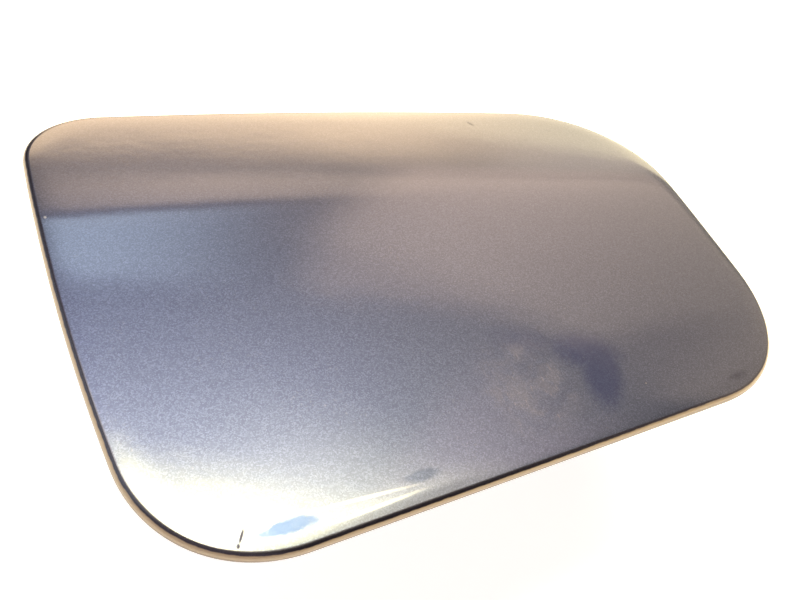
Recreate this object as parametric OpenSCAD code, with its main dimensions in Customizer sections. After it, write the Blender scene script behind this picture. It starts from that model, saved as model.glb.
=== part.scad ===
// Car fuel door with its gooseneck hinge, painted face up.
// Millimetres. +Z points out of the painted face, +X runs along the crease to
// the hinge side and +Y to the top edge, as the door sits in the car's side.
// The origin is midway between the two foot bolts, on the foot's mounting face.

/* [Door outline] */
// Width of the door along the crease
door_w = 180; // [160:1:200]
// Height of the door from the lowest to the highest corner point
door_h = 133; // [124:1:150]
// How far the bottom edge rises to the hinge side
bottom_rise = 14.2; // [6:0.2:20]
// How far the top edge falls to the hinge side
top_fall = 6; // [0:0.2:12]
// How far the bottom corner on the free side lies inside the top one
free_lean = 2.5; // [0:0.1:6]
// How far the bottom corner on the hinge side lies inside the width
hinge_lean = 4.2; // [0:0.1:8]
// How far the top corner on the hinge side lies outside the width
hinge_flare = 1.6; // [0:0.1:4]
// Outward bow of the bottom edge
bow_bottom = 0.5; // [0:0.1:3]
// Outward bow of the hinge side
bow_hinge = -1; // [-2:0.1:3]
// Outward bow of the top edge
bow_top = 1.8; // [0:0.1:4]
// Outward bow of the free side
bow_free = 4.4; // [1:0.1:6]
// Length that the bottom corner on the free side takes from each edge
cut_bottom_free = 26.8; // [18:0.2:32]
// Length that the bottom corner on the hinge side takes from each edge
cut_bottom_hinge = 35; // [26:0.5:40]
// Length that the top corner on the hinge side takes from each edge
cut_top_hinge = 37; // [26:0.5:40]
// Length that the top corner on the free side takes from each edge
cut_top_free = 20; // [15:0.5:30]

/* [Door face] */
// Height of the crease above the lowest corner point
crease_y = 88.7; // [86:0.5:94]
// Angle by which the band above the crease falls away
fold_deg = 9; // [5:0.5:11]
// Half width of the soft crease
crease_soft = 9; // [5:0.5:12]
// Radius of the face's crown across its width
crown_rx = 4000; // [3000:100:8000]
// Radius of the face's crown up its height
crown_ry = 2000; // [1500:100:6000]

/* [Sheet metal] */
// Thickness of the outer skin
skin_t = 0.8; // [0.6:0.05:0.9]
// Radius of the rolled hem, outside
hem_r = 1.4; // [1.35:0.05:1.6]
// Length of the hem flange that is folded back
hem_l = 9; // [7:0.5:11]
// Thickness of the inner panel
inner_t = 0.8; // [0.6:0.05:0.9]
// Width of the inner panel's flat rim
rim_w = 14; // [13:0.5:15]
// Width of the inner panel's sloping wall
wall_w = 6; // [5:0.5:7]
// Depth of the inner panel's floor below the top of the face
inner_drop = 8; // [7.5:0.25:9]
// Radius of the large lightening holes
hole_r = 10.5; // [8:0.5:11.5]
// Height of the collar round a lightening hole
collar_h = 2.2; // [1:0.2:3]

/* [Hinge] */
// Height of the hinge's middle above the lowest corner point
hinge_y = 70; // [68:0.5:72]
// Distance of the hinge pin outside the door's edge
pivot_out = 26; // [25:0.5:28]
// Depth of the hinge pin below the top of the face
pivot_drop = 34; // [33:0.5:36]
// Depth of the foot's mounting face below the top of the face
foot_drop = 64; // [63:0.5:68]
// Radius of the hinge pin
pin_r = 3; // [2.5:0.1:3.2]
// Half length of the arm's eyes together
eye_half = 15; // [14:0.5:16]
// Half width of the slot between the two eyes
eye_gap = 6; // [4:0.5:8]
// Outer radius of the arm's eyes
eye_r = 6.6; // [6.4:0.1:6.8]
// Wall of the plastic bushes
bush_t = 1.8; // [1.5:0.1:2]
// Thickness of the bush flange
bush_flange_t = 1; // [0.8:0.1:1.2]
// Thickness of the thrust washers
washer_t = 0.8; // [0.5:0.1:1]
// Thickness of the bracket's sheet
bracket_t = 2.5; // [2:0.1:3]
// Radius of the pin's head
pin_head_r = 5; // [4.5:0.1:5.5]
// Thickness of the pin's head
pin_head_t = 2; // [1.5:0.1:2.5]
// Distance between the two foot bolts
bolt_pitch = 28; // [26:1:34]
// Radius of the foot's bolt holes
bolt_r = 3.3; // [2.6:0.1:3.5]
// Distance of the foot bolts beyond the hinge pin
bolt_out = 22; // [20:0.5:24]
// Angle at which the open door meets its stop
open_deg = 75; // [72:1:76]

/* [Hinge arm] */
// Thickness of the arm
arm_t = 2.5; // [2:0.1:3]
// Width of the arm
arm_w = 30; // [26:1:32]
// Length of the arm's flat seat
seat_l = 36; // [34:1:38]
// Radius of the bend under the seat, at mid thickness
bend_r = 8; // [6:0.5:9]
// Radius of the gooseneck's throat, at mid thickness
neck_r = 13; // [12:0.5:13.5]
// Distance of the gooseneck's upright part from the hinge pin
neck_back = 41.5; // [41:0.5:43]
// Depth of the gooseneck's bottom bend centre below the hinge pin
neck_down = 12; // [11:0.5:13]
// Height of the pressed bead along the gooseneck
bead_h = 1; // [0.5:0.1:1.2]
// Width of the pressed bead
bead_w = 9; // [6:0.5:12]
// Distance between the two studs
stud_pitch = 20; // [18:0.5:22]
// Radius of the studs
stud_r = 2.5; // [2:0.1:2.8]
// Height of a stud's nut
nut_h = 4; // [3:0.2:5]
// Half the distance across a nut's flats
nut_half = 4; // [3.6:0.1:4.5]
// Thickness of the backing plate
backing_t = 1.2; // [1:0.1:1.6]

/* [Free side] */
// Distance of the striker's base from the free side
striker_in = 19; // [18.5:0.5:22]
// Width of the latch striker
striker_w = 24; // [20:1:28]
// Length of the striker's base
striker_l = 20; // [16:1:22]
// Drop of the striker's tongue
tongue_drop = 15; // [13:0.5:16]
// Thickness of the striker's sheet
striker_t = 1.6; // [1.2:0.1:2]
// Width of the slot in the tongue
slot_w = 11; // [9:0.5:12]
// Height of the slot in the tongue
slot_h = 6.5; // [6:0.1:7]
// Radius of the striker's rivets
rivet_r = 2; // [1.6:0.1:2.4]
// Radius of a bump stop's head
bump_r = 7; // [5:0.5:7.5]
// Height of a bump stop's head
bump_h = 9; // [7:0.5:11]
// Radius of a bump stop's stem
bump_stem_r = 3.5; // [2.5:0.1:4]
// Distance of the bump stops from the free side
bump_in = 28; // [26:0.5:32]
// Height of the lower bump stop
bump_low_y = 34; // [30:0.5:40]
// Height of the upper bump stop
bump_high_y = 93; // [91:0.5:95]

/* [Hidden] */
$fn = 48;

// Clearances: running fit, pressed fit, between stacked sheets, between parts
fit_run = 0.05;
fit_press = 0.02;
fit_sheet = 0.05;
fit_part = 0.1;

// Corners of the outline, counter-clockwise from the bottom of the free side
corners = [[free_lean, 0], [door_w - hinge_lean, bottom_rise],
    [door_w + hinge_flare, door_h - top_fall], [0, door_h]];
bows = [bow_bottom, bow_hinge, bow_top, bow_free];
cuts = [cut_bottom_free, cut_bottom_hinge, cut_top_hinge, cut_top_free];
side_steps = 11;
corner_steps = 8;
corner_pull = 0.6;

// Points of one bowed side and of one blended corner
function next(i) = (i + 1) % 4;
function side_v(i) = corners[next(i)] - corners[i];
function out_normal(v) = [v.y, -v.x] / norm(v);
function side_at(i, t) = corners[i] + side_v(i) * t
    + out_normal(side_v(i)) * bows[i] * 4 * t * (1 - t);
function side_dir(i, t) = let(v = side_v(i) + out_normal(side_v(i)) * bows[i] * 4 * (1 - 2 * t))
    v / norm(v);
function side_start(i) = cuts[i] / norm(side_v(i));
function side_end(i) = 1 - cuts[next(i)] / norm(side_v(i));
function bezier(a, b, c, d, t) = a * pow(1 - t, 3) + b * 3 * pow(1 - t, 2) * t
    + c * 3 * (1 - t) * t * t + d * pow(t, 3);
function corner_at(i, t) = let(j = next(i), r = cuts[j] * corner_pull,
    a = side_at(i, side_end(i)), d = side_at(j, side_start(j)))
    bezier(a, a + side_dir(i, side_end(i)) * r, d - side_dir(j, side_start(j)) * r, d, t);
function side_points(i) = [for (k = [0:side_steps - 1])
    side_at(i, side_start(i) + (side_end(i) - side_start(i)) * k / side_steps)];
function corner_points(i) = [for (k = [0:corner_steps - 1]) corner_at(i, k / corner_steps)];

outline = [for (i = [0:3]) each concat(side_points(i), corner_points(i))];
n = len(outline);
inward = [for (i = [0:n - 1]) let(v = outline[(i + 1) % n] - outline[(i + n - 1) % n])
    [-v.y, v.x] / norm(v)];
centre = [door_w / 2, door_h / 2];

// Height of the painted face and of the inner panel's floor over the door's plane
function fold(s, soft) = (s + sqrt(s * s + soft * soft)) / 2;
function face_z(p) = -pow(p.x - door_w / 2, 2) / (2 * crown_rx)
    - pow(p.y - door_h * 0.4, 2) / (2 * crown_ry)
    - tan(fold_deg) * fold(p.y - crease_y, crease_soft);
inner_crease_gap = 14;
inner_soft = 3;
function floor_z(p) = -inner_drop
    - tan(fold_deg) * fold(p.y - crease_y - inner_crease_gap, inner_soft);

// Rings of points: set in from the outline, then shrunk towards the centre
function inset(i, u) = outline[i] + inward[i] * u;
function shrunk(i, u, s) = centre + (inset(i, u) - centre) * s;
function at(p, z) = [p.x, p.y, z];
function face_ring(u, s, v) = [for (i = [0:n - 1])
    let(p = shrunk(i, u, s)) at(p, face_z(p) + v)];
function floor_ring(u, s, v) = [for (i = [0:n - 1])
    let(p = shrunk(i, u, s)) at(p, floor_z(p) + v)];
function rim_ring(u, v) = [for (i = [0:n - 1])
    at(inset(i, u), face_z(inset(i, hem_r)) + v)];

// Triangles between neighbouring rings, and the fans that close the two ends
function band_faces(a, b) = [for (i = [0:n - 1]) let(k = (i + 1) % n)
    each [[a * n + i, a * n + k, b * n + k], [a * n + i, b * n + k, b * n + i]]];
function fan_faces(first, apex, flip) = [for (i = [0:n - 1]) let(k = (i + 1) % n)
    flip ? [first + i, first + k, apex] : [first + k, first + i, apex]];

// Sheet closed in the middle, from the rings of its upper side out, round the
// edge and back in on its lower side
module domed_sheet(rings, top_mid, low_mid) {
    m = len(rings);
    polyhedron(
        points = concat([for (r = rings) each r], [top_mid, low_mid]),
        faces = concat([for (j = [0:m - 2]) each band_faces(j, j + 1)],
            fan_faces(0, m * n, false), fan_faces((m - 1) * n, m * n + 1, true)),
        convexity = 6);
}

// Closed bead that follows the outline
module ring_bead(rings) {
    m = len(rings);
    polyhedron(points = [for (r = rings) each r],
        faces = [for (j = [0:m - 1]) each band_faces(j, (j + 1) % m)], convexity = 6);
}

// Hinge geometry, in the door's own coordinates
edge_share = (hinge_y - corners[1].y) / (corners[2].y - corners[1].y);
edge_x = corners[1].x + (corners[2].x - corners[1].x) * edge_share;
pivot = [edge_x + pivot_out, -pivot_drop];
bolt_x = pivot.x + bolt_out;
inner_low = -inner_drop - inner_t;
seat_top = inner_low - fit_part;
neck_x = pivot.x - neck_back;
bend_c = [neck_x - bend_r, seat_top - arm_t / 2 - bend_r];
seat_x = bend_c.x - seat_l;
neck_c = [neck_x + neck_r, pivot.y - neck_down];

// The strip leaves the bottom bend where its tangent points at the pin
to_pin = pivot - neck_c;
neck_end = atan2(to_pin.y, to_pin.x) - acos(neck_r / norm(to_pin)) + 360;
strip_deg = neck_end + 90;
strip_l = sqrt(norm(to_pin) * norm(to_pin) - neck_r * neck_r);
function around(c, r, a) = [c.x + r * cos(a), c.y + r * sin(a)];

bush_r = pin_r + fit_run + bush_t;
flange_y = eye_half + bush_flange_t;
washer_y = flange_y + fit_part;
ear_y = washer_y + washer_t + fit_part;
ear_out = ear_y + bracket_t;
foot_top = -foot_drop + bracket_t;
foot_back = 8;
foot_front = bolt_out + 12;
ear_front = 15;
ear_r = 6;
clip_t = 0.8;
clip_y = ear_out + fit_part;
pin_tail = clip_y + clip_t + 1.6;

module in_car() {
    translate([-bolt_x, -hinge_y, foot_drop]) children();
}

// Turns a drawing in the X-Z plane into a plate that is centred on the hinge
module plate(y0, y1) {
    translate([0, hinge_y + y1, 0]) rotate([90, 0, 0]) linear_extrude(y1 - y0) children();
}

module round_plate(y0, y1, r) {
    plate(y0, y1) translate(pivot) circle(r);
}

module outer_skin() {
    shares = [0.14, 0.3, 0.46, 0.6, 0.72, 0.83, 0.92];
    inner_r = hem_r - skin_t;
    top = concat([for (s = shares) face_ring(hem_r, s, 0)], [face_ring(hem_r, 1, 0)]);
    roll = [for (a = [30:30:150]) rim_ring(hem_r - hem_r * sin(a), -hem_r + hem_r * cos(a))];
    flange = [face_ring(hem_r, 1, -2 * hem_r), face_ring(hem_l, 1, -2 * hem_r),
        face_ring(hem_l, 1, -2 * hem_r + skin_t), face_ring(hem_r, 1, -2 * hem_r + skin_t)];
    back = [for (a = [135:-45:45]) rim_ring(hem_r - inner_r * sin(a), -hem_r + inner_r * cos(a))];
    low = concat([face_ring(hem_r, 1, -skin_t)],
        [for (k = [len(shares) - 1:-1:0]) face_ring(hem_r, shares[k], -skin_t)]);
    color([0.16, 0.2, 0.3]) in_car()
        domed_sheet(concat(top, roll, flange, back, low),
            at(centre, face_z(centre)), at(centre, face_z(centre) - skin_t));
}

// Lightening holes in the inner panel's floor
function on_door(x, y) = [door_w * x, door_h * y];
hole_places = [on_door(0.28, 0.32), on_door(0.3, 0.68), on_door(0.48, 0.3),
    on_door(0.535, 0.5), on_door(0.5, 0.73)];
hole_sizes = [hole_r, hole_r, hole_r * 0.8, hole_r, hole_r * 0.8];

module inner_panel() {
    gap = fit_sheet;
    edge = hem_r + 0.4;
    shares = [1, 0.9, 0.8, 0.68, 0.5, 0.3, 0.12];
    foot_u = rim_w + wall_w;
    v = -skin_t - gap;
    upper = concat([for (k = [len(shares) - 1:-1:0]) floor_ring(foot_u, shares[k], 0)],
        [face_ring(rim_w, 1, v), face_ring(edge, 1, v)]);
    lower = concat([face_ring(edge, 1, v - inner_t), face_ring(rim_w, 1, v - inner_t)],
        [for (s = shares) floor_ring(foot_u, s, -inner_t)]);
    color([0.3, 0.33, 0.36]) in_car() {
        difference() {
            domed_sheet(concat(upper, lower), at(centre, floor_z(centre)),
                at(centre, floor_z(centre) - inner_t));
            for (k = [0:len(hole_places) - 1])
                translate(at(hole_places[k], -inner_drop - 4))
                    cylinder(r = hole_sizes[k], h = 8);
            for (p = concat(stud_places, rivet_places))
                translate(at(p, -inner_drop - 4)) cylinder(r = stud_r + fit_part, h = 8);
            for (p = bump_places)
                translate(at(p, -inner_drop - 4)) cylinder(r = bump_stem_r + fit_part, h = 8);
        }
        for (k = [0:len(hole_places) - 1]) hole_collar(hole_places[k], hole_sizes[k]);
    }
}

// Collar that stands down from the rim of a lightening hole
module hole_collar(p, r) {
    z = floor_z(p) - inner_t / 2;
    translate(at(p, z - collar_h)) difference() {
        cylinder(r = r + inner_t, h = collar_h);
        translate([0, 0, -1]) cylinder(r = r, h = collar_h + 2);
    }
}

module hem_sealer() {
    u = hem_l + fit_sheet;
    v = -skin_t - fit_sheet - inner_t - fit_sheet;
    section = [[u, v], [u + 2.4, v], [u + 1.8, v - 0.7], [u + 0.7, v - 1.2], [u, v - 1.2]];
    color([0.2, 0.21, 0.22]) in_car()
        ring_bead([for (q = section) face_ring(q[0], 1, q[1])]);
}

// Dabs of soft mastic between the skin and the inner panel's floor
dab_places = [on_door(0.26, 0.52), on_door(0.4, 0.59), on_door(0.38, 0.42),
    on_door(0.7, 0.335), on_door(0.58, 0.36)];
dab_r = 6;

module mastic_dabs() {
    color([0.12, 0.12, 0.12]) in_car()
        for (p = dab_places) {
            low = floor_z(p) + 0.3;
            high = face_z(p) - skin_t - 0.3;
            translate(at(p, low)) rotate_extrude()
                polygon([[0, 0], [dab_r - 1.2, 0], [dab_r, 1.4], [dab_r, high - low - 1.4],
                    [dab_r - 1.2, high - low], [0, high - low]]);
        }
}

// Stud, rivet and stop places on the inner panel
stud_mid = [seat_x + seat_l * 0.5, hinge_y];
stud_places = [stud_mid - [stud_pitch / 2, 0], stud_mid + [stud_pitch / 2, 0]];
striker_x = striker_in;
rivet_x = striker_x + striker_l * 0.62;
rivet_in = 5;
rivet_side = striker_w / 2 - rivet_in;
rivet_places = [[rivet_x, hinge_y - rivet_side], [rivet_x, hinge_y + rivet_side]];
bump_places = [[bump_in, bump_low_y], [bump_in, bump_high_y]];
stud_head_t = 1.2;
stud_head_r = 6;
stud_down = fit_sheet + inner_t + fit_sheet + arm_t + nut_h + 1.5;
nut_flange_t = 1.2;
nut_flange_r = 5.8;

module hinge_backing_plate() {
    w = arm_w + 6;
    l = seat_l + 4;
    color([0.4, 0.42, 0.44]) in_car()
        translate([seat_x - 2, hinge_y - w / 2, -inner_drop + fit_sheet]) difference() {
            cube([l, w, backing_t]);
            for (x = [-stud_pitch / 2, stud_pitch / 2])
                translate([seat_l / 2 + 2 + x, w / 2, -1]) cylinder(r = stud_r + fit_part, h = 5);
        }
}

module arm_studs() {
    top = -inner_drop + fit_sheet + backing_t + fit_sheet;
    color([0.72, 0.68, 0.5]) in_car() for (p = stud_places) {
        translate(at(p, top)) cylinder(r = stud_head_r, h = stud_head_t);
        translate(at(p, top - backing_t - stud_down))
            cylinder(r = stud_r, h = backing_t + stud_down + stud_head_t / 2);
    }
}

module arm_nuts() {
    top = seat_top - arm_t - fit_sheet;
    color([0.72, 0.68, 0.5]) in_car() for (p = stud_places)
        translate(at(p, top - nut_h)) difference() {
            union() {
                cylinder(r = nut_half / cos(30), h = nut_h, $fn = 6);
                translate([0, 0, nut_h - nut_flange_t])
                    cylinder(r = nut_flange_r, h = nut_flange_t);
            }
            translate([0, 0, -1]) cylinder(r = stud_r + fit_press, h = nut_h + 2);
        }
}

// Piece of a ring between two angles, in the X-Z plane
module arc_strip(c, r, t, from, to) {
    reach = r + t;
    steps = 6;
    translate(c) intersection() {
        difference() {
            circle(r + t / 2);
            circle(r - t / 2);
        }
        polygon(concat([[0, 0]], [for (k = [0:steps])
            let(a = from + (to - from) * k / steps) [cos(a), sin(a)] * reach * 1.2]));
    }
}

// Side view of the gooseneck at a given thickness, shifted outwards for the bead
module neck_view(t, shift) {
    arc_strip(neck_c, neck_r + shift, t, 180, neck_end);
    translate([neck_x - shift - t / 2, neck_c.y]) square([t, bend_c.y - neck_c.y]);
}

module arm_view() {
    translate([seat_x, seat_top - arm_t]) square([seat_l, arm_t]);
    arc_strip(bend_c, bend_r, arm_t, 0, 90);
    neck_view(arm_t, 0);
    translate(around(neck_c, neck_r, neck_end)) rotate(strip_deg)
        translate([0, -arm_t / 2]) square([strip_l - eye_r + 1, arm_t]);
}

module hinge_arm() {
    color([0.22, 0.24, 0.27]) in_car() difference() {
        union() {
            plate(-arm_w / 2, arm_w / 2) arm_view();
            plate(-bead_w / 2, bead_w / 2) neck_view(bead_h * 2, arm_t / 2);
            round_plate(-eye_half, eye_half, eye_r);
        }
        round_plate(-eye_half - 1, eye_half + 1, bush_r + fit_press);
        round_plate(-eye_gap, eye_gap, eye_r + 1.5);
        for (p = stud_places)
            translate(at(p, seat_top - arm_t - 1)) cylinder(r = stud_r + 0.3, h = arm_t + 2);
    }
}

// Flanged bush in one eye; side is 1 for the upper and -1 for the lower eye
module bush(side) {
    translate([0, hinge_y, 0]) mirror([0, side > 0 ? 0 : 1, 0]) translate([0, -hinge_y, 0])
        difference() {
            union() {
                round_plate(eye_gap + 0.5, eye_half + 0.1, bush_r);
                round_plate(eye_half + 0.05, flange_y, eye_r);
            }
            round_plate(0, flange_y + 1, pin_r + fit_run);
        }
}

module upper_bush() {
    color([0.85, 0.84, 0.78]) in_car() bush(1);
}

module lower_bush() {
    color([0.85, 0.84, 0.78]) in_car() bush(-1);
}

module bump_stop(p) {
    low = floor_z(p) - inner_t - 0.3;
    lip = 1.2;
    translate(at(p, low)) rotate_extrude()
        polygon([[0, -bump_h], [bump_r * 0.55, -bump_h], [bump_r * 0.8, -bump_h + 1.2],
            [bump_r, -2], [bump_r, 0], [bump_stem_r, 0], [bump_stem_r, inner_t + 0.6],
            [bump_stem_r + lip, inner_t + 0.6], [bump_stem_r, inner_t + 3], [0, inner_t + 3]]);
}

module upper_bump_stop() {
    color([0.1, 0.1, 0.1]) in_car() bump_stop(bump_places[1]);
}

module lower_bump_stop() {
    color([0.1, 0.1, 0.1]) in_car() bump_stop(bump_places[0]);
}

// Angle of sheet whose tongue has the slot that the lock's pin enters
module latch_striker() {
    top = inner_low - fit_part;
    slot_z = top - tongue_drop * 0.62;
    color([0.7, 0.71, 0.73]) in_car() difference() {
        union() {
            translate([striker_x, hinge_y - striker_w / 2, top - striker_t])
                cube([striker_l, striker_w, striker_t]);
            translate([striker_x, hinge_y - striker_w / 2, top - tongue_drop])
                cube([striker_t, striker_w, tongue_drop]);
        }
        translate([striker_x - 1, hinge_y - slot_w / 2, slot_z - slot_h / 2])
            cube([striker_t + 2, slot_w, slot_h]);
        for (p = rivet_places)
            translate(at(p, top - striker_t - 1)) cylinder(r = rivet_r + fit_part, h = striker_t + 2);
    }
}

module striker_rivets() {
    head_r = rivet_r * 1.9;
    head_h = rivet_r * 0.7;
    low = inner_low - fit_part - striker_t - fit_sheet;
    high = -inner_drop + fit_sheet;
    color([0.75, 0.76, 0.78]) in_car() for (p = rivet_places) translate(at(p, 0)) {
        translate([0, 0, low]) cylinder(r = rivet_r, h = high - low);
        translate([0, 0, low]) rotate_extrude()
            polygon([[0, -head_h], [head_r * 0.6, -head_h], [head_r, -head_h * 0.3],
                [head_r, 0], [0, 0]]);
        translate([0, 0, high]) cylinder(r = head_r, h = head_h);
    }
}

// Ear of the bracket, from inside the foot's sheet up to the pin
module ear_view() {
    low = -foot_drop + bracket_t / 2;
    neck = ear_r * 0.92;
    translate(pivot) circle(ear_r);
    polygon([[pivot.x - foot_back + 1, low], [pivot.x + ear_front, low],
        [pivot.x + ear_front, foot_top + 4], [pivot.x + neck, pivot.y],
        [pivot.x - neck, pivot.y], [pivot.x - foot_back + 1, foot_top + 8]]);
}

// The stop lies beside the open arm, on the side that it swings to
stop_deg = strip_deg - open_deg + 180;
stop_rubber = 2.5;
stop_gap = 0.3;
stop_from = 9.5;
stop_l = 9;
stop_low = -arm_t / 2 - stop_gap - stop_rubber;

module at_stop() {
    translate(pivot) rotate(stop_deg) children();
}

module hinge_bracket() {
    foot_w = bolt_pitch + 18;
    color([0.55, 0.56, 0.57]) in_car() difference() {
        union() {
            translate([pivot.x - foot_back, hinge_y - foot_w / 2, -foot_drop])
                cube([foot_back + foot_front, foot_w, bracket_t]);
            for (y = [-ear_out, ear_y]) plate(y, y + bracket_t) ear_view();
            plate(-ear_y - bracket_t / 2, ear_y + bracket_t / 2) at_stop()
                translate([stop_from, stop_low - bracket_t]) square([stop_l, bracket_t]);
            for (y = [-ear_out, ear_y]) plate(y, y + bracket_t) at_stop()
                polygon([[0, -ear_r * 0.8], [stop_from + stop_l + 1, stop_low - bracket_t - 0.8],
                    [stop_from + stop_l + 1, stop_low + 0.6], [0, ear_r * 0.8]]);
        }
        round_plate(-ear_out - 1, ear_out + 1, pin_r + fit_run);
        for (y = [-bolt_pitch / 2, bolt_pitch / 2])
            translate([bolt_x, hinge_y + y, -foot_drop - 1]) cylinder(r = bolt_r, h = bracket_t + 2);
        translate([spring_x, hinge_y, -foot_drop - 1])
            cylinder(r = spring_rivet_r + fit_part, h = bracket_t + 2);
    }
}

module hinge_pin() {
    color([0.78, 0.78, 0.8]) in_car() difference() {
        union() {
            round_plate(-pin_tail, ear_out + fit_part + 0.5, pin_r);
            round_plate(ear_out + fit_part, ear_out + fit_part + pin_head_t, pin_head_r);
        }
        plate(-clip_y - clip_t - fit_part, -clip_y) translate(pivot) difference() {
            circle(pin_r + 1);
            circle(pin_r - 0.7);
        }
    }
}

module pin_clip() {
    color([0.35, 0.36, 0.38]) in_car() plate(-clip_y - clip_t, -clip_y - fit_sheet)
        translate(pivot) difference() {
            circle(pin_r + 2.4);
            circle(pin_r - 0.65);
            translate([0, -(pin_r - 1.1)]) square([pin_r + 4, 2 * (pin_r - 1.1)]);
        }
}

module washer(y0) {
    difference() {
        round_plate(y0, y0 + washer_t, eye_r - 0.4);
        round_plate(y0 - 1, y0 + washer_t + 1, pin_r + fit_run);
    }
}

module upper_washer() {
    color([0.8, 0.8, 0.82]) in_car() washer(washer_y);
}

module lower_washer() {
    color([0.8, 0.8, 0.82]) in_car() washer(-washer_y - washer_t);
}

module open_stop() {
    half = arm_w / 2 - 3;
    color([0.1, 0.1, 0.1]) in_car() plate(-half, half) at_stop()
        translate([stop_from + 0.5, stop_low + fit_sheet])
            square([stop_l - 1, stop_rubber - fit_sheet]);
}

// Leaf spring that lifts the unlocked door off its seal
spring_t = 0.7;
spring_w = 14;
spring_in = 9;
spring_tail = 5;
spring_x = pivot.x + spring_in;
spring_rivet_r = 1.8;
spring_head_r = 2 * spring_rivet_r;
spring_head_h = spring_rivet_r;
spring_bend_r = 5;
spring_tip_r = 1.6;
spring_touch = 15;

module pop_spring() {
    face = around(pivot, spring_touch, strip_deg + 180);
    away = around([0, 0], arm_t / 2 + 0.3 + spring_tip_r, strip_deg - 90);
    tip = face + away;
    low = foot_top + fit_sheet;
    root = [pivot.x + 1, low + spring_t / 2];
    reach = tip - root;
    lean = atan2(reach.y, reach.x);
    color([0.5, 0.52, 0.56]) in_car() difference() {
        plate(-spring_w / 2, spring_w / 2) {
            translate([root.x, low]) square([spring_x + spring_tail - root.x, spring_t]);
            translate(root) circle(spring_t / 2);
            translate(root) rotate(lean) translate([0, -spring_t / 2])
                square([norm(reach) - spring_tip_r + 0.3, spring_t]);
            translate(tip) difference() {
                circle(spring_tip_r);
                circle(spring_tip_r - spring_t);
            }
        }
        translate([spring_x, hinge_y, low - 1]) cylinder(r = spring_rivet_r + fit_part, h = 4);
    }
}

module spring_rivet() {
    top = foot_top + fit_sheet + spring_t + fit_sheet;
    color([0.75, 0.76, 0.78]) in_car() translate([spring_x, hinge_y, 0]) {
        translate([0, 0, -foot_drop + 0.1])
            cylinder(r = spring_rivet_r, h = top + foot_drop);
        translate([0, 0, top]) rotate_extrude()
            polygon([[0, 0], [spring_head_r, 0], [spring_head_r, spring_head_h / 3],
                [spring_head_r * 2 / 3, spring_head_h * 0.8], [0, spring_head_h]]);
    }
}

outer_skin();
inner_panel();
hem_sealer();
mastic_dabs();
hinge_backing_plate();
arm_studs();
arm_nuts();
hinge_arm();
upper_bush();
lower_bush();
upper_bump_stop();
lower_bump_stop();
latch_striker();
striker_rivets();
hinge_bracket();
hinge_pin();
pin_clip();
upper_washer();
lower_washer();
open_stop();
pop_spring();
spring_rivet();
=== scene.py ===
"""Looks for the car fuel door: dark blue metallic paint over hemmed steel, its hinge and bracket."""

import math

import bpy
import bmesh
import numpy as np
from mathutils import Matrix, Vector


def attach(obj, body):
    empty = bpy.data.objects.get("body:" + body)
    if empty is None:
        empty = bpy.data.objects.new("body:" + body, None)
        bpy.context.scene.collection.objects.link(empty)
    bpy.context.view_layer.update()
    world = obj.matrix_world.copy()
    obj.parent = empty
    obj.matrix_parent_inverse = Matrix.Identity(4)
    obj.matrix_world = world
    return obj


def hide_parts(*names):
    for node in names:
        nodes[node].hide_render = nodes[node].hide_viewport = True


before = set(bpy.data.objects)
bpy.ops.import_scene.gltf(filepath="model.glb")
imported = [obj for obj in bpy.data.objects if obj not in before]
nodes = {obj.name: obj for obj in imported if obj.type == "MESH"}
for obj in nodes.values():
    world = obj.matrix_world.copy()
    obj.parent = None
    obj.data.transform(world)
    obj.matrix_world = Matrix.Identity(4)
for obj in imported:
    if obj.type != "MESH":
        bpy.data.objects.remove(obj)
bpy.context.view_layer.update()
scene = bpy.context.scene
MM = 0.001

# Door shape in millimetres, in the door's own frame: x runs towards the hinge side, y up to the top edge.
CORNERS = np.array([[2.5, 0.0], [175.8, 14.2], [181.6, 127.0], [0.0, 133.0]])
# How far the middle of each side bulges outwards, and how far from its corner point a rounding starts.
BOWS = (0.5, -1.0, 1.8, 4.4)
CUTS = (26.8, 35.0, 37.0, 20.0)
CORNER_PULL = 0.6
CENTRE = np.array([90.0, 66.5])
# The face is crowned about this point with these radii.
CROWN_AT = (90.0, 53.2)
CROWN_R = (4000.0, 2000.0)
# Above the crease the face falls away by this slope. The fold is soft over about this height.
CREASE_Y = 88.7
CREASE_SOFT = 9.0
CREASE_SLOPE = math.tan(math.radians(9))
# Skin thickness, radius of the rolled hem and reach of its flange.
SKIN_T = 0.8
HEM_R = 1.4
HEM_L = 9.0
# The painted face turns down by a little along the rim, over this width.
EDGE_DROP = 0.2
EDGE_W = 7.0
# From the door's frame to the object's, whose origin is at the hinge.
SHIFT = np.array([-226.667, -70.0, 64.0])

# How finely the skin is drawn.
SIDE_STEPS = 66
CORNER_STEPS = 56
FACE_RINGS = 82
RIM_RINGS = 19
BACK_SHARES = (1.0, 0.94, 0.86, 0.76, 0.64, 0.5, 0.36, 0.22, 0.1, 0.012)


def side_vector(i):
    return CORNERS[(i + 1) % 4] - CORNERS[i]


def outward(v):
    return np.array([v[1], -v[0]]) / np.linalg.norm(v)


def side_at(i, t):
    """Point at share t of the bowed side i."""
    v = side_vector(i)
    return CORNERS[i] + v * t + outward(v) * BOWS[i] * 4 * t * (1 - t)


def side_direction(i, t):
    v = side_vector(i)
    d = v + outward(v) * BOWS[i] * 4 * (1 - 2 * t)
    return d / np.linalg.norm(d)


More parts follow.
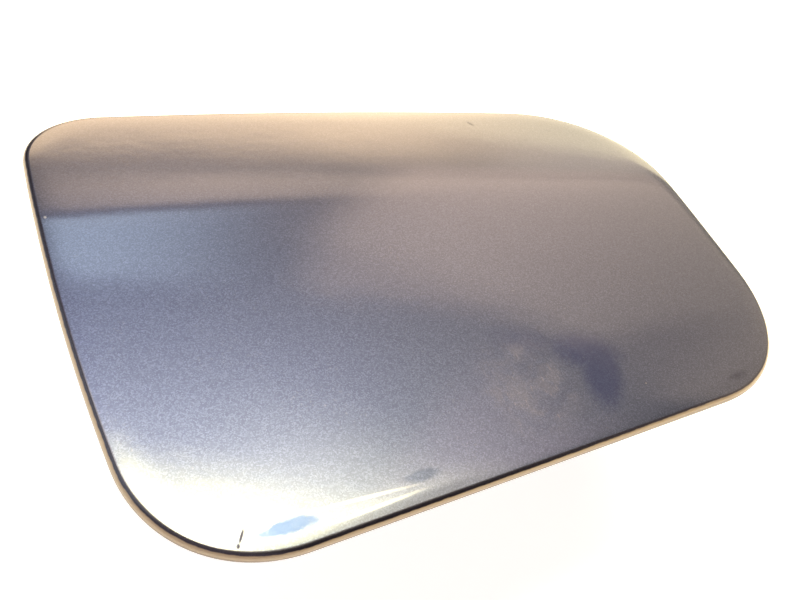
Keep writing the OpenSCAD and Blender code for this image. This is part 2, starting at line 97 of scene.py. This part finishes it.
def outline_points():
    """The door's outline: four bowed sides joined by cubic curves, counter-clockwise."""
    points = []
    for i in range(4):
        j = (i + 1) % 4
        start = CUTS[i] / np.linalg.norm(side_vector(i))
        end = 1 - CUTS[j] / np.linalg.norm(side_vector(i))
        for k in range(SIDE_STEPS):
            points.append(side_at(i, start + (end - start) * k / SIDE_STEPS))
        next_start = CUTS[j] / np.linalg.norm(side_vector(j))
        pull = CUTS[j] * CORNER_PULL
        a = side_at(i, end)
        d = side_at(j, next_start)
        b = a + side_direction(i, end) * pull
        c = d - side_direction(j, next_start) * pull
        for k in range(CORNER_STEPS):
            t = k / CORNER_STEPS
            points.append(a * (1 - t) ** 3 + b * 3 * t * (1 - t) ** 2 + c * 3 * t * t * (1 - t) + d * t**3)
    return np.array(points)


def face_z(p):
    """Height of the painted face: crowned both ways, with a soft fold along the crease."""
    crown_x = (p[..., 0] - CROWN_AT[0]) ** 2 / (2 * CROWN_R[0])
    crown_y = (p[..., 1] - CROWN_AT[1]) ** 2 / (2 * CROWN_R[1])
    past = p[..., 1] - CREASE_Y
    fall = CREASE_SLOPE * (past + np.sqrt(past * past + CREASE_SOFT**2)) / 2
    return -crown_x - crown_y - fall


def face_normal(p):
    past = p[..., 1] - CREASE_Y
    fold = CREASE_SLOPE * (1 + past / np.sqrt(past * past + CREASE_SOFT**2)) / 2
    dx = -(p[..., 0] - CROWN_AT[0]) / CROWN_R[0]
    dy = -(p[..., 1] - CROWN_AT[1]) / CROWN_R[1] - fold
    n = np.stack([-dx, -dy, np.ones_like(dx)], axis=-1)
    return n / np.linalg.norm(n, axis=-1, keepdims=True)


def edge_drop(p, line, inward):
    """Soft turn-down of the face along its rim: its depth, its slope and the way in from the rim."""
    batch = 61
    gap = np.full(len(p), 1e9)
    near = np.zeros(len(p), int)
    for start in range(0, len(line), batch):
        d = np.linalg.norm(p[:, None] - line[None, start:start + batch], axis=2)
        best = d.argmin(1)
        low = d[np.arange(len(p)), best]
        near = np.where(low < gap, best + start, near)
        gap = np.minimum(gap, low)
    left = np.clip(1 - gap / EDGE_W, 0, 1)
    return EDGE_DROP * left**3, (3 * EDGE_DROP / EDGE_W) * left**2, inward[near]


def mesh_object(name, verts, faces):
    mesh = bpy.data.meshes.new(name)
    mesh.from_pydata([tuple(v) for v in verts], [], [tuple(f) for f in faces])
    mesh.update()
    obj = bpy.data.objects.new(name, mesh)
    scene.collection.objects.link(obj)
    return obj


def skin_rings():
    """Rings round the outline (face, roll, flange and back), their normals and how far each is rolled."""
    out = outline_points()
    n = len(out)
    v = np.roll(out, -1, axis=0) - np.roll(out, 1, axis=0)
    inward = np.stack([-v[:, 1], v[:, 0]], axis=1) / np.linalg.norm(v, axis=1)[:, None]
    inward_3d = np.concatenate([inward, np.zeros((n, 1))], axis=1)
    up = np.array([0.0, 0.0, 1.0])
    rings, normals, hem = [], [], []

    def level(inset, share, offset):
        """A ring at this inset from the outline, shrunk to a share of it, at an offset from the face."""
        p = CENTRE + (out + inward * inset - CENTRE) * share
        z = face_z(p) + offset
        q = face_normal(p)
        if share > 0.8:
            drop, slope, way = edge_drop(p, out + inward * HEM_R, inward)
            z = z - drop
            q[:, :2] -= way * slope[:, None]
            q /= np.linalg.norm(q, axis=1)[:, None]
        return np.concatenate([p, z[:, None]], axis=1), q

    def roll(radius, angle):
        """A ring on the roll of the hem, from 0 degrees at the face to 180 at the flange."""
        a = math.radians(angle)
        base = face_z(out + inward * HEM_R) - EDGE_DROP
        p = out + inward * (HEM_R - radius * math.sin(a))
        z = base - HEM_R + radius * math.cos(a)
        return np.concatenate([p, z[:, None]], axis=1), -inward_3d * math.sin(a) + up * math.cos(a)

    def add(ring, flip=False, rolled=0.0):
        hem.append(np.full(n, rolled))
        rings.append(ring[0])
        normals.append(-ring[1] if flip else ring[1])

    for share in 1 - 0.988 * (1 - np.linspace(0, 1, FACE_RINGS)) ** 1.25:
        add(level(HEM_R, share, 0.0))
    for angle in np.linspace(0, 180, RIM_RINGS)[1:-1]:
        add(roll(HEM_R, angle), rolled=angle / 180)
    for inset in (HEM_R, 3.0, 5.0, 7.0, HEM_L - 0.2):
        add(level(inset, 1, -2 * HEM_R), flip=True, rolled=1.0)
    # the flange's cut end, with its corners eased by 0.1 and 0.2 mm
    for offset in (0.2, SKIN_T - 0.1):
        add(level(HEM_L, 1, -2 * HEM_R + offset))
        normals[-1] = inward_3d.copy()
    add(level(HEM_L - 0.1, 1, -2 * HEM_R + SKIN_T))
    add(level(HEM_R, 1, -2 * HEM_R + SKIN_T))
    for angle in (150, 120, 90, 60, 30):
        ring, normal = roll(HEM_R - SKIN_T, angle)
        add((ring, -normal))
    for share in BACK_SHARES:
        add(level(HEM_R, share, -SKIN_T), flip=True)
    return rings, normals, hem


def build_skin():
    """Painted outer skin as one closed mesh, with a point at the middle of its face and one behind it."""
    rings, normals, hem = skin_rings()
    n = len(rings[0])
    m = len(rings)
    middle = face_z(CENTRE)
    verts = np.concatenate(rings + [np.array([[*CENTRE, middle]]), np.array([[*CENTRE, middle - SKIN_T]])])
    normal = np.concatenate(normals + [face_normal(CENTRE)[None], -face_normal(CENTRE)[None]])
    k = np.arange(n)
    after = (k + 1) % n
    faces = []
    for j in range(m - 1):
        a, b = j * n, (j + 1) * n
        faces += list(zip(a + after, a + k, b + k, b + after))
    faces += list(zip(k, after, np.full(n, m * n)))
    last = (m - 1) * n
    faces += list(zip(last + after, last + k, np.full(n, m * n + 1)))
    rolled = np.concatenate(hem + [np.zeros(2)])
    return verts, normal, [tuple(int(i) for i in f) for f in faces], rolled


skin_verts, skin_normals, skin_faces, skin_hem = build_skin()
skin = mesh_object("painted_skin", (skin_verts + SHIFT) * MM, skin_faces)
for poly in skin.data.polygons:
    poly.use_smooth = True
skin.data.normals_split_custom_set_from_vertices([tuple(x) for x in skin_normals])
skin.data.attributes.new("hem", "FLOAT", "POINT").data.foreach_set("value", skin_hem.astype(np.float32))
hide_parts("outer_skin")
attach(skin, "door")


# Materials
class Nodes:
    """Short ways to build a node tree."""

    def __init__(self, tree):
        self.tree = tree
        tree.nodes.clear()

    def new(self, kind, **values):
        node = self.tree.nodes.new(kind)
        for key, value in values.items():
            setattr(node, key, value)
        return node

    def link(self, a, b):
        self.tree.links.new(a, b)

    def value(self, socket, x):
        if hasattr(x, "links"):
            self.link(x, socket)
        else:
            socket.default_value = x

    def math(self, op, a, b=None):
        node = self.new("ShaderNodeMath", operation=op)
        self.value(node.inputs[0], a)
        if b is not None:
            self.value(node.inputs[1], b)
        return node.outputs[0]

    def times(self, a, b):
        return self.math("MULTIPLY", a, b)

    def plus(self, a, b):
        return self.math("ADD", a, b)

    def top(self, *masks):
        """The highest of several masks."""
        high = masks[0]
        for mask in masks[1:]:
            high = self.math("MAXIMUM", high, mask)
        return high

    def vmath(self, op, a, b=None):
        node = self.new("ShaderNodeVectorMath", operation=op)
        self.value(node.inputs[0], a)
        if b is not None:
            self.value(node.inputs[1], b)
        return node.outputs[0]

    def scaled(self, vector, factor):
        node = self.new("ShaderNodeVectorMath", operation="SCALE")
        self.value(node.inputs[0], vector)
        self.value(node.inputs["Scale"], factor)
        return node.outputs[0]

    def split(self, vector):
        node = self.new("ShaderNodeSeparateXYZ")
        self.link(vector, node.inputs[0])
        return node.outputs

    def step(self, x, lo, hi, a=0.0, b=1.0):
        """A smooth step from a at lo to b at hi."""
        node = self.new("ShaderNodeMapRange", interpolation_type="SMOOTHSTEP")
        self.value(node.inputs["Value"], x)
        node.inputs["From Min"].default_value = lo
        node.inputs["From Max"].default_value = hi
        node.inputs["To Min"].default_value = a
        node.inputs["To Max"].default_value = b
        return node.outputs[0]

    def mix(self, fac, a, b):
        node = self.new("ShaderNodeMix", data_type="RGBA")
        self.value(node.inputs[0], fac)
        for socket, x in ((node.inputs[6], a), (node.inputs[7], b)):
            self.value(socket, (*x, 1.0) if isinstance(x, tuple) and len(x) == 3 else x)
        return node.outputs[2]

    def noise(self, vector, scale, detail=3.0, rough=0.5, distortion=0.0):
        node = self.new("ShaderNodeTexNoise")
        self.link(vector, node.inputs["Vector"])
        node.inputs["Scale"].default_value = scale
        node.inputs["Detail"].default_value = detail
        node.inputs["Roughness"].default_value = rough
        node.inputs["Distortion"].default_value = distortion
        return node.outputs["Fac"]

    def centred(self, noise, amount=1.0):
        """Noise that swings to both sides of zero."""
        return self.times(self.math("SUBTRACT", noise, 0.5), amount)

    def bump(self, height, strength, distance, normal=None):
        node = self.new("ShaderNodeBump")
        node.inputs["Strength"].default_value = strength
        node.inputs["Distance"].default_value = distance
        self.link(height, node.inputs["Height"])
        if normal is not None:
            self.link(normal, node.inputs["Normal"])
        return node.outputs[0]


class Face:
    """Soft spots on the painted face, placed in the door's own millimetres."""

    def __init__(self, nt, door):
        self.nt = nt
        self.x, self.y = nt.split(door)[:2]
        self.ragged = nt.centred(nt.noise(door, 0.7, 3.0, 0.6))

    def spot(self, cx, cy, rx, ry, soft=0.5, turn=0.0, torn=0.0):
        """An oval mask round (cx, cy), turned by so many degrees. torn makes its edge ragged."""
        nt = self.nt
        c, s = math.cos(math.radians(turn)), math.sin(math.radians(turn))
        dx, dy = nt.math("SUBTRACT", self.x, cx), nt.math("SUBTRACT", self.y, cy)
        u = nt.plus(nt.times(dx, c / rx), nt.times(dy, s / rx))
        v = nt.plus(nt.times(dx, -s / ry), nt.times(dy, c / ry))
        d = nt.math("SQRT", nt.plus(nt.times(u, u), nt.times(v, v)))
        if torn > 0:
            d = nt.plus(d, nt.times(self.ragged, torn))
        return nt.step(d, 1.0 - soft, 1.0, 1.0, 0.0)


def material(name):
    mat = bpy.data.materials.new(name)
    mat.use_nodes = True
    nt = Nodes(mat.node_tree)
    shader = nt.new("ShaderNodeBsdfPrincipled")
    output = nt.new("ShaderNodeOutputMaterial")
    nt.link(shader.outputs[0], output.inputs["Surface"])
    coord = nt.new("ShaderNodeTexCoord").outputs["Object"]
    return mat, nt, shader, coord


def flake_coat(nt, coord):
    """Colour of the metallic base coat, and the height of its flakes."""
    flake = nt.new("ShaderNodeTexVoronoi", feature="F1")
    nt.link(coord, flake.inputs["Vector"])
    flake.inputs["Scale"].default_value = 4200.0
    cell = nt.new("ShaderNodeSeparateColor")
    nt.link(flake.outputs["Color"], cell.inputs[0])
    sparkle = nt.step(cell.outputs[0], 0.3, 1.0)
    cloud = nt.step(nt.noise(coord, 700.0, 4.0, 0.7), 0.35, 0.7, 0.0, 0.5)
    base = nt.mix(sparkle, (0.058, 0.065, 0.102), (0.092, 0.104, 0.162))
    return nt.mix(cloud, base, (0.070, 0.079, 0.123)), cell.outputs[1]


def paint_material():
    """Dark blue metallic base coat with fine flake under a clear coat, with marks of use and with painted
    reflections, highlights and shade on it.
    """
    mat, nt, shader, coord = material("blue_metallic_paint")
    door = nt.vmath("ADD", nt.scaled(coord, 1 / MM), tuple(-SHIFT))
    face = Face(nt, door)
    spot = face.spot
    base, flake_height = flake_coat(nt, coord)

    # a rubbed, smeared area near the lower rim, with fine hair scratches in it
    blotch = nt.noise(door, 0.18, 6.0, 0.7, distortion=0.4)
    rubbed = spot(89, 25, 15, 17, 0.6, -15)
    smear = nt.times(nt.step(blotch, 0.36, 0.70), rubbed)
    lines = nt.noise(nt.vmath("MULTIPLY", door, (2.6, 0.22, 0.22)), 1.0, 3.0, 0.6, distortion=0.6)
    hairs = nt.times(nt.step(lines, 0.60, 0.66), nt.times(rubbed, nt.step(blotch, 0.42, 0.6)))
    fine_dirt = nt.times(nt.step(nt.noise(door, 1.6, 2.0, 0.6), 0.60, 0.72),
                         nt.step(nt.noise(door, 0.05, 2.0), 0.42, 0.7))

    # small dark marks: a short scratch, chips at the lower rim and specks on the upper band. Two pale nicks.
    scratch = nt.top(spot(17.4, 7.3, 2.3, 0.34, 0.7, 59, 0.5), spot(16.4, 5.7, 0.7, 0.42, 0.7, 62, 0.4))
    chips = nt.top(spot(61.3, 3.4, 0.9, 0.7, 0.3), nt.times(spot(148, 16.5, 5.0, 1.5, 0.9, 7, 0.4), 0.4))
    faint_specks = nt.top(spot(139.9, 111.6, 0.8, 0.6, 0.8), spot(152.2, 116.6, 0.7, 0.7, 0.8))
    specks = nt.top(spot(126.2, 122, 1.7, 0.5, 0.5, -66), nt.times(faint_specks, 0.5))
    dark = nt.top(scratch, chips, nt.times(specks, 0.7))
    rim_nick = spot(-0.9, 90.2, 0.4, 0.6, 0.6)
    face_nick = spot(119.7, 19.5, 0.35, 0.28, 0.6)

    # a painted dark reflection beside the smear, two worn wedges without clear coat (the first also painted
    # bluer as a painted reflection), a dull strip and pale painted highlight streaks
    painted_dark_reflection = nt.top(spot(110, 25, 7, 14, 0.6, -26, 0.3), spot(109, 31, 13, 7.5, 0.7, -17, 0.3),
                   nt.times(spot(95.5, 36.5, 14, 5.5, 0.9, -17, 0.4), 0.4))
    # the first wedge: clear coat worn off, and its base painted bluer as a painted reflection
    wedge_wear_and_painted_reflection = spot(26.3, 6.9, 7.6, 1.8, 0.5, 2, 0.9)
    worn = nt.times(nt.top(wedge_wear_and_painted_reflection, spot(55, 10.3, 5.2, 1.6, 0.55, 4, 0.7)),
                    nt.step(nt.noise(door, 0.35, 3.0, 0.5), 0.3, 0.5, 0.9, 1.0))
    strip = spot(50, 5.6, 26, 1.6, 0.8, 4.7)
    # pale streaks near the lower rim: painted highlights
    painted_highlight_streaks = nt.top(spot(42, 8.6, 13.5, 0.55, 0.9, 0, 0.3), spot(43.5, 6.3, 13, 0.6, 0.9, 6, 0.3))

    # hem runs from 0 at the face to 1 at the flange. Its painted dark line is narrower towards the hinge
    # side.
    hem = nt.new("ShaderNodeAttribute", attribute_name="hem").outputs["Fac"]
    hem_from = nt.plus(hem, nt.step(face.x, 70, 140, 0.0, 0.09))
    waver = nt.centred(nt.noise(door, 0.5, 3.0), 0.08)
    outside = nt.step(hem, 0.68, 0.8, 1.0, 0.0)
    # tan band on the lower half of the roll: dust, and a painted reflection of the pale floor
    dust_and_floor_reflection = nt.times(nt.step(nt.plus(hem_from, waver), 0.20, 0.26), outside)
    # brown line further round the roll: painted shade
    painted_rim_shade = nt.times(nt.step(hem_from, 0.43, 0.49), outside)
    # dark line on the upper half of the roll: painted dark reflection
    painted_dark_rim_reflection = nt.times(nt.step(hem, 0.0, 0.06, 0.0, 0.7), outside)

    # each mask mixes its colour into the base: marks of use, and also painted reflections, highlights and
    # shade
    for mask, amount, colour in (
        (painted_dark_reflection, 0.55, (0.020, 0.027, 0.085)),
        (smear, 0.17, (0.165, 0.136, 0.15)),
        (hairs, 0.4, (0.22, 0.20, 0.21)),
        (wedge_wear_and_painted_reflection, 0.85, (0.060, 0.088, 0.185)),
        (strip, 0.35, (0.045, 0.045, 0.065)),
        (painted_highlight_streaks, 0.42, (0.55, 0.53, 0.48)),
        (fine_dirt, 0.10, (0.35, 0.33, 0.30)),
        (dark, 1.0, (0.020, 0.018, 0.032)),
        (painted_dark_rim_reflection, 1.0, (0.035, 0.026, 0.032)),
        (dust_and_floor_reflection, 0.9, (0.36, 0.275, 0.20)),
        (painted_rim_shade, 1.0, (0.15, 0.10, 0.065)),
        (rim_nick, 1.0, (0.30, 0.29, 0.30)),
        (face_nick, 1.0, (0.16, 0.16, 0.17)),
    ):
        base = nt.mix(nt.times(mask, amount), base, colour)
    nt.link(base, shader.inputs["Base Color"])
    nt.link(nt.math("SUBTRACT", 1.0, nt.times(dust_and_floor_reflection, 0.7)), shader.inputs["Metallic"])
    nt.link(nt.plus(0.36, nt.times(smear, 0.06)), shader.inputs["Roughness"])
    nt.link(nt.bump(flake_height, 0.12, 0.00003), shader.inputs["Normal"])

    # clear coat: missing where it is worn, hazy where it is smeared, and slightly wavy all over
    bare = nt.top(worn, dark, nt.times(dust_and_floor_reflection, 0.7), nt.times(strip, 0.6))
    nt.link(nt.math("SUBTRACT", 1.0, bare), shader.inputs["Coat Weight"])
    shader.inputs["Coat IOR"].default_value = 1.52
    haze = nt.plus(nt.times(smear, 0.12), nt.times(fine_dirt, 0.05))
    nt.link(nt.plus(0.06, haze), shader.inputs["Coat Roughness"])
    wave = nt.bump(nt.noise(coord, 34.0, 1.0, 0.4), 0.02, 0.004)
    peel = nt.bump(nt.noise(coord, 260.0, 2.0, 0.5), 0.03, 0.0006, wave)
    relief = nt.plus(nt.times(dark, -1.0), nt.times(smear, 0.2))
    nt.link(nt.bump(relief, 0.25, 0.0001, peel), shader.inputs["Coat Normal"])
    return mat


def metal_material(name, colour, second, rough, scale, stretch=None):
    """Metal or plated steel with a mottled tone, fine wear and a little grime."""
    mat, nt, shader, coord = material(name)
    source = coord if stretch is None else nt.vmath("MULTIPLY", coord, stretch)
    big = nt.noise(source, scale, 5.0, 0.6)
    fine = nt.noise(coord, scale * 9, 3.0, 0.6)
    grime = nt.times(nt.step(nt.noise(coord, scale * 0.6, 4.0, 0.7), 0.5, 0.75), 0.35)
    tone = nt.mix(nt.step(big, 0.35, 0.68), colour, second)
    nt.link(nt.mix(grime, tone, tuple(c * 0.35 for c in colour)), shader.inputs["Base Color"])
    shader.inputs["Metallic"].default_value = 1.0
    worn_rough = nt.plus(rough, nt.centred(fine, 0.22))
    nt.link(nt.plus(worn_rough, nt.times(grime, 0.3)), shader.inputs["Roughness"])
    nt.link(nt.bump(nt.plus(big, nt.times(fine, 0.4)), 0.15, 0.0002), shader.inputs["Normal"])
    return mat


def soft_material(name, colour, second, rough, scale, bump, coat=0.0):
    """Rubber, nylon, mastic, primer or coating."""
    mat, nt, shader, coord = material(name)
    big = nt.noise(coord, scale * 0.25, 4.0, 0.6)
    fine = nt.noise(coord, scale * 3, 3.0, 0.6)
    nt.link(nt.mix(nt.step(big, 0.3, 0.72), colour, second), shader.inputs["Base Color"])
    nt.link(nt.plus(rough, nt.centred(fine, 0.2)), shader.inputs["Roughness"])
    shader.inputs["Coat Weight"].default_value = coat
    nt.link(nt.bump(nt.plus(nt.times(big, 0.6), fine), bump, 0.00015), shader.inputs["Normal"])
    return mat


# Each slot's finish: two tones, roughness, scale of the mottling, then bump and coat or stretch of the grain.
finishes = {
    "blue_paint": paint_material(),
    "primer_paint": soft_material(
        "blue_grey_undercoat", (0.055, 0.065, 0.09), (0.085, 0.095, 0.12), 0.42, 160.0, 0.15, 0.35),
    "sealer": soft_material("seam_sealer", (0.11, 0.11, 0.115), (0.17, 0.165, 0.16), 0.6, 260.0, 0.5),
    "mastic": soft_material("black_mastic", (0.018, 0.018, 0.019), (0.04, 0.038, 0.036), 0.7, 220.0, 0.6),
    "zinc_sheet": metal_material("zinc_plated_sheet", (0.56, 0.57, 0.58), (0.42, 0.43, 0.45), 0.34, 70.0),
    "yellow_zinc": metal_material("yellow_zinc", (0.62, 0.52, 0.24), (0.50, 0.46, 0.30), 0.32, 160.0),
    "black_coat": soft_material(
        "black_dip_coat", (0.020, 0.022, 0.026), (0.045, 0.047, 0.052), 0.38, 180.0, 0.22, 0.2),
    "nylon": soft_material("natural_nylon", (0.70, 0.68, 0.60), (0.60, 0.57, 0.48), 0.45, 300.0, 0.1),
    "rubber": soft_material("black_rubber", (0.014, 0.014, 0.015), (0.035, 0.035, 0.036), 0.62, 260.0, 0.45),
    "bracket_zinc": metal_material(
        "zinc_bracket", (0.50, 0.51, 0.53), (0.38, 0.385, 0.40), 0.38, 55.0, (1.0, 0.35, 1.0)),
    "pin_steel": metal_material(
        "turned_steel", (0.62, 0.62, 0.63), (0.50, 0.50, 0.51), 0.22, 220.0, (1.0, 0.2, 1.0)),
    "spring_steel": metal_material("blued_spring_steel", (0.20, 0.22, 0.27), (0.12, 0.125, 0.15), 0.28, 90.0),
}
skin.data.materials.append(finishes["blue_paint"])

# Dressed copies of the other parts: body, slot, and the width in millimetres of their eased edges.
PARTS = {
    "inner_panel": ("door", "primer_paint", 0.0),
    "hem_sealer": ("door", "sealer", 0.0),
    "mastic_dabs": ("door", "mastic", 0.0),
    "hinge_backing_plate": ("door", "zinc_sheet", 0.18),
    "arm_studs": ("door", "yellow_zinc", 0.25),
    "arm_nuts": ("door", "yellow_zinc", 0.25),
    "hinge_arm": ("door", "black_coat", 0.35),
    "upper_bush": ("door", "nylon", 0.15),
    "lower_bush": ("door", "nylon", 0.15),
    "upper_bump_stop": ("door", "rubber", 0.4),
    "lower_bump_stop": ("door", "rubber", 0.4),
    "latch_striker": ("door", "zinc_sheet", 0.2),
    "striker_rivets": ("door", "zinc_sheet", 0.12),
    "hinge_bracket": ("bracket", "bracket_zinc", 0.3),
    "hinge_pin": ("bracket", "pin_steel", 0.2),
    "pin_clip": ("bracket", "spring_steel", 0.1),
    "upper_washer": ("bracket", "pin_steel", 0.1),
    "lower_washer": ("bracket", "pin_steel", 0.1),
    "open_stop": ("bracket", "rubber", 0.3),
    "pop_spring": ("bracket", "spring_steel", 0.1),
    "spring_rivet": ("bracket", "zinc_sheet", 0.12),
}
# The bracket's foot: half its width, the top of its sheet with a little room, and the radius of its corners.
FOOT_HALF = 23 * MM
FOOT_TOP = 2.6 * MM
FOOT_CORNER = 7 * MM


def foot_corners(bm):
    """The upright edges at the corners of the bracket's foot."""
    found = []
    for edge in bm.edges:
        ends = [v.co for v in edge.verts]
        at_side = all(abs(abs(p.y) - FOOT_HALF) < 0.05 * MM for p in ends)
        if at_side and abs(ends[0].z - ends[1].z) > 2 * MM and max(p.z for p in ends) < FOOT_TOP:
            found.append(edge)
    return found


def dress(node, body, slot, bevel):
    """A copy of a CAD node's mesh with its edges eased and its faces smoothed."""
    mesh = nodes[node].data.copy()
    mesh.name = node + "_look"
    obj = bpy.data.objects.new(node + "_look", mesh)
    scene.collection.objects.link(obj)
    bm = bmesh.new()
    bm.from_mesh(mesh)
    bmesh.ops.remove_doubles(bm, verts=bm.verts, dist=0.004 * MM)
    bmesh.ops.dissolve_limit(bm, angle_limit=math.radians(0.4), verts=bm.verts, edges=bm.edges)
    if node == "hinge_bracket":
        bmesh.ops.bevel(bm, geom=foot_corners(bm), offset=FOOT_CORNER, offset_type="OFFSET", segments=6,
                        profile=0.5, affect="EDGES", clamp_overlap=True)
    bm.to_mesh(mesh)
    bm.free()
    for poly in mesh.polygons:
        poly.use_smooth = True
    mesh.materials.clear()
    mesh.materials.append(finishes[slot])
    if bevel > 0:
        mod = obj.modifiers.new("ease", "BEVEL")
        mod.width = bevel * MM
        mod.segments = 2
        mod.limit_method = "ANGLE"
        mod.angle_limit = math.radians(32)
        mod.use_clamp_overlap = True
        mod.harden_normals = True
    else:
        mesh.set_sharp_from_angle(angle=math.radians(35))
    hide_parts(node)
    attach(obj, body)


for part_name, (part_body, part_slot, part_bevel) in PARTS.items():
    dress(part_name, part_body, part_slot, part_bevel)

# Floor, just under the bracket's foot and bright enough to stay white
bpy.ops.mesh.primitive_plane_add(size=6.0, location=(-0.1, 0.0, -0.0002))
floor = bpy.context.object
floor.name = "floor"
floor_mat, fnt, fshader, fcoord = material("pale_floor")
mottle = fnt.step(fnt.noise(fcoord, 3.0, 3.0), 0.3, 0.7)
fnt.link(fnt.mix(mottle, (0.86, 0.855, 0.85), (0.88, 0.875, 0.87)), fshader.inputs["Base Color"])
fshader.inputs["Roughness"].default_value = 0.9
fshader.inputs["Emission Color"].default_value = (0.98, 0.97, 0.96, 1.0)
fshader.inputs["Emission Strength"].default_value = 0.72
floor.data.materials.append(floor_mat)

# Soft patches of light round the object, which the paint mirrors
world = bpy.data.worlds.new("studio")
scene.world = world
world.use_nodes = True
wn = Nodes(world.node_tree)
direction = wn.split(wn.vmath("NORMALIZE", wn.new("ShaderNodeTexCoord").outputs["Generated"]))
elevation = wn.times(wn.math("ARCSINE", direction[2]), 180 / math.pi)
azimuth = wn.times(wn.math("ARCTAN2", direction[1], direction[0]), 180 / math.pi)


def band(angle, start, end, start_soft, end_soft):
    """1 between two angles, with a soft edge at each."""
    return wn.times(wn.step(angle, start - start_soft, start + start_soft),
                    wn.step(angle, end - end_soft, end + end_soft, 1.0, 0.0))


def patch_of_light(az0, az1, el0, el1, soft_az, soft_el, colour, strength,
                   end_soft=None, lean=0.0, lean_az=0.0):
    """Soft-edged patch of light, in degrees of azimuth from +X towards +Y and of elevation.

    end_soft is the softness at az1, where it differs from soft_az. Below the azimuth lean_az the patch's
    top edge comes down by lean degrees for each degree.
    """
    sides = band(azimuth, az0, az1, soft_az, soft_az if end_soft is None else end_soft)
    fall = wn.times(wn.math("MINIMUM", wn.math("SUBTRACT", azimuth, lean_az), 0.0), lean)
    w = wn.times(sides, wn.step(elevation, el0 - soft_el, el0 + soft_el))
    w = wn.times(w, wn.step(wn.math("SUBTRACT", elevation, fall), el1 - soft_el, el1 + soft_el, 1.0, 0.0))
    return wn.scaled(colour, wn.times(w, strength))


LIGHTS = (
    # az0, az1, el0, el1, soft az, soft el, colour, strength, and for some soft end, lean, lean az

    # pale upper band, right and left
    (-60, 55.5, -40, 15.7, 25, 1.5, (1.0, 0.86, 0.55), 3.3),
    (55.5, 94, -10, 19.2, 10, 2.6, (1.0, 0.71, 0.42), 4.2),
    (40, 52, 15.5, 20.5, 4, 2, (1.0, 0.80, 0.62), 1.3),
    (61, 84, 22.3, 29.8, 12, 2, (1.0, 0.74, 0.54), 2.4),
    # warm right half of the face, with its slanting lower edge
    (-30, 60, 23.5, 41.4, 10, 1.9, (1.0, 0.79, 0.60), 0.35),
    (-30, 25, 23.5, 41.4, 10, 1.9, (1.0, 0.79, 0.60), 0.7, 4),
    (25, 60, 23.5, 41.4, 4, 1.9, (1.0, 0.79, 0.60), 0.7, 10, 1.05, 33),
    (38, 59.5, 20.3, 45.6, 14, 1.5, (1.0, 0.71, 0.53), 1.75, 3.5, 0.2, 56),
    # blue start under the crease on the left
    (71, 91, 33, 46.5, 10, 1.8, (0.65, 0.81, 1.0), 3.75, 8.5),
    # bright lower left corner, the streak beside it and the blue above it
    (43, 100, 63.5, 82.5, 22.5, 5.5, (1.0, 0.93, 0.40), 36.5),
    (21, 55, 59, 68, 15, 7, (1.0, 0.96, 0.63), 14),
    (43.5, 103.5, 66, 90, 12, 25, (0.02, 0.05, 1.0), 7),
    # lower rim on the right, and the fringe of the left rim
    (17, 40, 48.5, 67, 4, 6, (1.0, 0.70, 0.85), 1.75),
    (97, 122, 53, 68, 6, 4, (1.0, 0.97, 0.94), 4.5),
    # dim light from behind the camera and from the left
    (-179, -70, -30, 75, 10, 15, (1.0, 0.82, 0.86), 0.45),
    (128, 178, 4, 70, 12, 8, (0.92, 0.96, 1.0), 1.1),
)
AMBIENT = (0.045, 0.03, 0.045)
light = AMBIENT
for row in LIGHTS:
    light = wn.vmath("ADD", light, patch_of_light(*row))
studio = wn.new("ShaderNodeBackground")
wn.link(light, studio.inputs["Color"])
# the camera itself sees plain white behind the object
plain = wn.new("ShaderNodeBackground")
plain.inputs["Color"].default_value = (1.0, 1.0, 0.995, 1.0)
pick = wn.new("ShaderNodeMixShader")
wn.link(wn.new("ShaderNodeLightPath").outputs["Is Camera Ray"], pick.inputs[0])
wn.link(studio.outputs[0], pick.inputs[1])
wn.link(plain.outputs[0], pick.inputs[2])
wn.link(pick.outputs[0], wn.new("ShaderNodeOutputWorld").inputs["Surface"])

# Camera, in metres: where it stands, the way it looks and the way to the right of the picture
CAMERA_AT = (-0.25370, -0.12760, 0.20637)
LOOKING = (0.46956, 0.54231, -0.69672)
TO_THE_RIGHT = (0.87508, -0.39069, 0.28566)
camera_data = bpy.data.cameras.new("camera")
camera = bpy.data.objects.new("camera", camera_data)
scene.collection.objects.link(camera)
scene.camera = camera
camera_data.lens = 40.5
camera_data.sensor_width = 36.0
camera_data.clip_start = 0.01
camera_data.clip_end = 50.0
forward = Vector(LOOKING).normalized()
right = Vector(TO_THE_RIGHT).normalized()
right = (right - forward * right.dot(forward)).normalized()
above = right.cross(forward)
camera.matrix_world = Matrix((
    (right.x, above.x, -forward.x, CAMERA_AT[0]),
    (right.y, above.y, -forward.y, CAMERA_AT[1]),
    (right.z, above.z, -forward.z, CAMERA_AT[2]),
    (0, 0, 0, 1)))
scene.view_settings.view_transform = "Standard"
